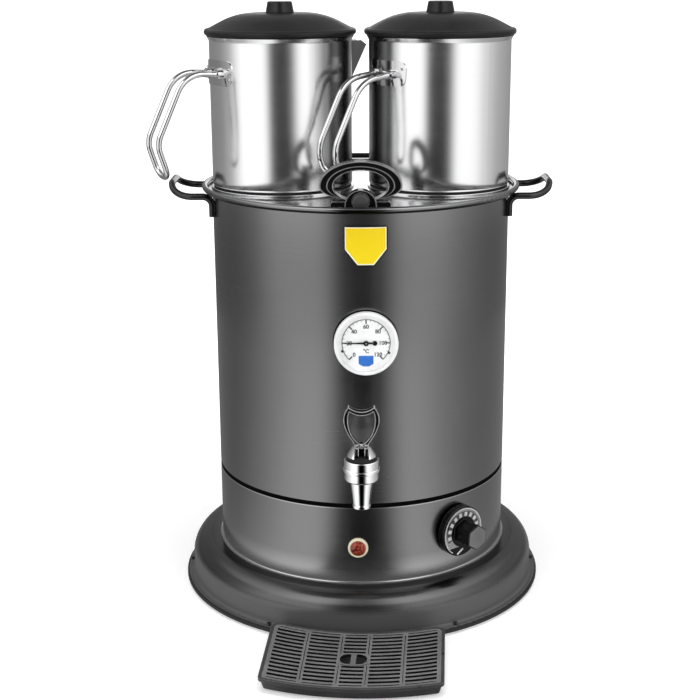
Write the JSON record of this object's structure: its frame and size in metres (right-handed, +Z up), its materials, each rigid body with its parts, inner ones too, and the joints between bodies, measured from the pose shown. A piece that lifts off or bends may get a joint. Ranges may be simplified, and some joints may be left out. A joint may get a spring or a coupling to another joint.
{
  "type": "tea urn",
  "caption": "Electric tea urn with a lever tap, a dial thermometer, a hinged cover that carries two lidded teapots, and a drip tray with a lift-out grate.",
  "frame": {"origin": "axis of the urn's round body, at the level of the table", "axes": "+Z up along the body's axis, the tap towards -Y, +X to the viewer's right"},
  "size_m": [0.4404, 0.5381, 0.6609],
  "materials": {
    "dark_steel": "satin",
    "plated_steel": "satin",
    "fastener_steel": "bright",
    "black_rubber": "matt",
    "black_seam": "matt",
    "tank_steel": "satin",
    "yellow_badge": "gloss",
    "bright_steel": "polished",
    "black_plastic": "satin",
    "grey_plastic": "gloss",
    "black_paint": "gloss",
    "white_enamel": "gloss",
    "white_dial": "matt",
    "clear_glass": "clear",
    "plain_brass": "satin",
    "cream_plastic": "gloss",
    "red_lens": "gloss",
    "silver_cap": "satin",
    "brown_plastic": "matt",
    "copper_tube": "satin",
    "element_steel": "matt",
    "wire_sleeve": "matt",
    "tap_chrome": "polished",
    "valve_rubber": "matt",
    "black_gloss_plastic": "gloss",
    "tray_grey": "satin",
    "grate_silver": "satin",
    "pot_chrome": "polished",
    "lid_enamel": "gloss"
  },
  "bodies": {
    "urn": {"base_ring": "dark_steel", "bottom_plate": "plated_steel", "bottom_screws": "fastener_steel", "rubber_feet": "black_rubber", "lower_housing": "dark_steel", "seam_band": "black_seam", "upper_jacket": "dark_steel", "inner_tank": "tank_steel", "badge_plate": "yellow_badge", "hinge_pin": "black_paint", "hinge_brackets": "black_paint", "hinge_screws": "fastener_steel", "carry_handle_left": "black_paint", "carry_handle_right": "black_paint", "thermometer_case": "white_enamel", "thermometer_dial": "white_dial", "thermometer_glass": "clear_glass", "thermometer_probe": "plain_brass", "signal_lamp_bezel": "cream_plastic", "signal_lamp_lens": "red_lens", "thermostat_shaft": "fastener_steel", "thermostat_body": "brown_plastic", "thermostat_probe": "copper_tube", "heating_element": "element_steel", "heater_nuts": "plain_brass", "safety_cutout": "brown_plastic", "terminal_block": "cream_plastic", "cable_gland": "black_plastic", "internal_wires": "wire_sleeve", "tap_body": "tap_chrome", "tap_gaskets": "black_rubber", "tap_nut": "tap_chrome", "tap_bonnet": "tap_chrome", "tap_spring": "fastener_steel"},
    "cover": {"cover_plate": "bright_steel", "pot_seat_rings": "black_rubber", "cover_handle": "black_plastic", "cover_handle_plug": "grey_plastic", "hinge_leaves": "bright_steel", "hinge_rivets": "fastener_steel"},
    "tap_valve": {"tap_stem": "plain_brass", "tap_seat_cup": "valve_rubber", "tap_lever_pin": "fastener_steel"},
    "tap_lever": {"tap_lever": "black_gloss_plastic"},
    "thermostat_knob": {"thermostat_knob": "black_plastic", "thermostat_knob_cap": "silver_cap", "thermostat_knob_scale": "silver_cap"},
    "thermometer_pointer": {"thermometer_pointer": "black_paint"},
    "drip_tray": {"drip_tray": "tray_grey"},
    "drip_grate": {"drip_grate": "grate_silver"},
    "pot_left": {"pot_left_vessel": "bright_steel", "pot_left_bracket": "pot_chrome", "pot_left_handle": "pot_chrome"},
    "pot_left_lid": {"pot_left_lid": "lid_enamel", "pot_left_lid_knob": "black_gloss_plastic"},
    "pot_right": {"pot_right_vessel": "bright_steel", "pot_right_bracket": "pot_chrome", "pot_right_handle": "pot_chrome"},
    "pot_right_lid": {"pot_right_lid": "lid_enamel", "pot_right_lid_knob": "black_gloss_plastic"}
  },
  "joints": [
    {"name": "cover_hinge", "type": "hinge", "parent": "urn", "child": "cover", "pos_m": [0, 0.187, 0.4677], "axis": [-1, 0, 0], "range_deg": [0, 95]},
    {"name": "pot_left_lift", "type": "slide", "parent": "cover", "child": "pot_left", "axis": [0, 0, 1], "range_m": [0, 0.15]},
    {"name": "pot_right_lift", "type": "slide", "parent": "cover", "child": "pot_right", "axis": [0, 0, 1], "range_m": [0, 0.15]},
    {"name": "pot_left_lid_lift", "type": "slide", "parent": "pot_left", "child": "pot_left_lid", "axis": [0, 0, 1], "range_m": [0, 0.08]},
    {"name": "pot_right_lid_lift", "type": "slide", "parent": "pot_right", "child": "pot_right_lid", "axis": [0, 0, 1], "range_m": [0, 0.08]},
    {"name": "tap_valve_lift", "type": "slide", "parent": "urn", "child": "tap_valve", "axis": [0, 0, 1], "range_m": [0, 0.0035], "deforming": ["tap_spring"]},
    {"name": "tap_lever_turn", "type": "hinge", "parent": "tap_valve", "child": "tap_lever", "pos_m": [0, -0.22, 0.2244], "axis": [1, 0, 0], "range_deg": [0, 40], "stiffness_Nm_per_rad": 0.015, "springref_deg": -45.84},
    {"name": "thermostat_turn", "type": "hinge", "parent": "urn", "child": "thermostat_knob", "pos_m": [0.10384, -0.12823, 0.1005], "axis": [-0.6293, 0.7771, 0], "range_deg": [0, 270]},
    {"name": "thermometer_pointer_turn", "type": "hinge", "parent": "urn", "child": "thermometer_pointer", "pos_m": [0.0049, -0.16493, 0.324], "axis": [-0.0297, 0.9996, 0], "range_deg": [-45, 225]},
    {"name": "drip_tray_slide", "type": "slide", "parent": "urn", "child": "drip_tray", "axis": [-0.0628, -0.998, 0], "range_m": [0, 0.08]},
    {"name": "drip_grate_lift", "type": "slide", "parent": "drip_tray", "child": "drip_grate", "axis": [0, 0, 1], "range_m": [0, 0.05]}
  ],
  "couplings": [
    {"joint": "tap_valve_lift", "follows": "tap_lever_turn", "m_per_rad": 0.005}
  ]
}
